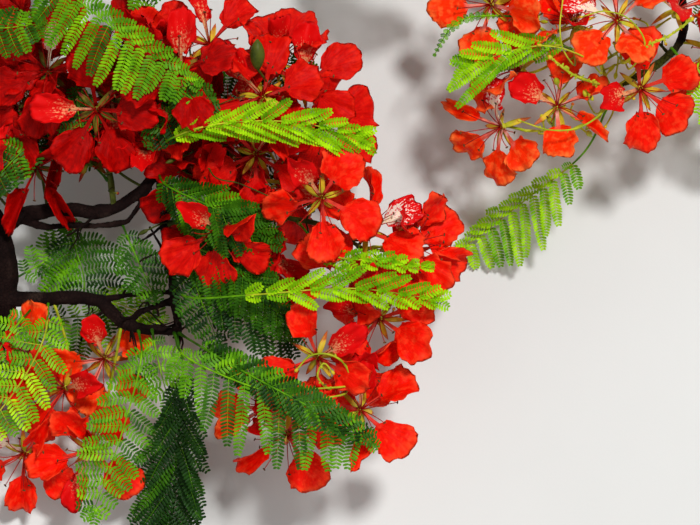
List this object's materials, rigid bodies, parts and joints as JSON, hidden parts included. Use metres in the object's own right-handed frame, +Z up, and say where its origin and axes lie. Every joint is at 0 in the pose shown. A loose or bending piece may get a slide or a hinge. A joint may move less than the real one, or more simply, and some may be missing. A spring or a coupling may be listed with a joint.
{
  "type": "cut flowering branch of a flame tree",
  "caption": "Lying cut branch with dark forked limbs, feathery twice-divided leaves and clusters of large red blooms on green stalks, for planting scenes and still lifes.",
  "frame": {"origin": "on the ground, under the middle of the branch's box", "axes": "+Z up from the ground the branch lies on, +X along its long overhead bough towards the right-hand spray, +Y from the sawn end towards the overhead bough"},
  "size_m": [0.926, 0.7102, 0.2524],
  "materials": {
    "bark": "rough, near-black brown bark with fine cracks",
    "green_stalk": "smooth, young yellow-green stalk",
    "petal": "soft, slightly glossy scarlet petal with a crinkled edge",
    "leaf": "soft satin leaflets, bright to deep green"
  },
  "bodies": {
    "root": {"bloom_below_limb": "petal", "bloom_left_crown": "petal", "bloom_left_high": "petal", "bloom_left_low": "petal", "bloom_left_standard": "petal", "bloom_low_left": "petal", "bloom_low_middle": "petal", "bloom_main_bottom": "petal", "bloom_main_centre": "petal", "bloom_main_disc": "petal", "bloom_main_loops": "petal", "bloom_main_low": "petal", "bloom_main_right": "petal", "bloom_main_upright": "petal", "bloom_middle_low": "petal", "bloom_middle_right": "petal", "bloom_right_above": "petal", "bloom_right_edge": "petal", "bloom_right_far": "petal", "bloom_right_middle": "petal", "bloom_right_pair": "petal", "bloom_right_tail": "petal", "bloom_right_top": "petal", "bloom_top_flag": "petal", "bloom_top_hood": "petal", "bloom_top_middle": "petal", "bloom_top_open": "petal", "bloom_top_upright": "petal", "crown_raceme_left": "green_stalk", "crown_raceme_right": "green_stalk", "crown_raceme_top": "green_stalk", "hanging_raceme": "green_stalk", "leaf_below_limb": "leaf", "leaf_between_limbs": "leaf", "leaf_bright_right": "leaf", "leaf_dark_diagonal": "leaf", "leaf_drooping_dark": "leaf", "leaf_left_edge": "leaf", "leaf_left_low": "leaf", "leaf_lower_left": "leaf", "leaf_lower_right": "leaf", "leaf_over_middle": "leaf", "leaf_over_right": "leaf", "leaf_top_corner": "leaf", "leaf_top_left": "leaf", "leaf_top_tip": "leaf", "leaf_under_knot": "leaf", "leaf_upper_right": "leaf", "long_raceme": "green_stalk", "lower_limb": "bark", "main_bough": "bark", "overhead_bough_left": "bark", "overhead_bough_middle": "bark", "overhead_bough_right": "bark", "right_leaf_hanging": "leaf", "right_leaf_top": "leaf", "right_racemes": "green_stalk", "right_twig": "bark", "twig_tangle": "bark", "upper_limb": "bark"}
  },
  "joints": []
}
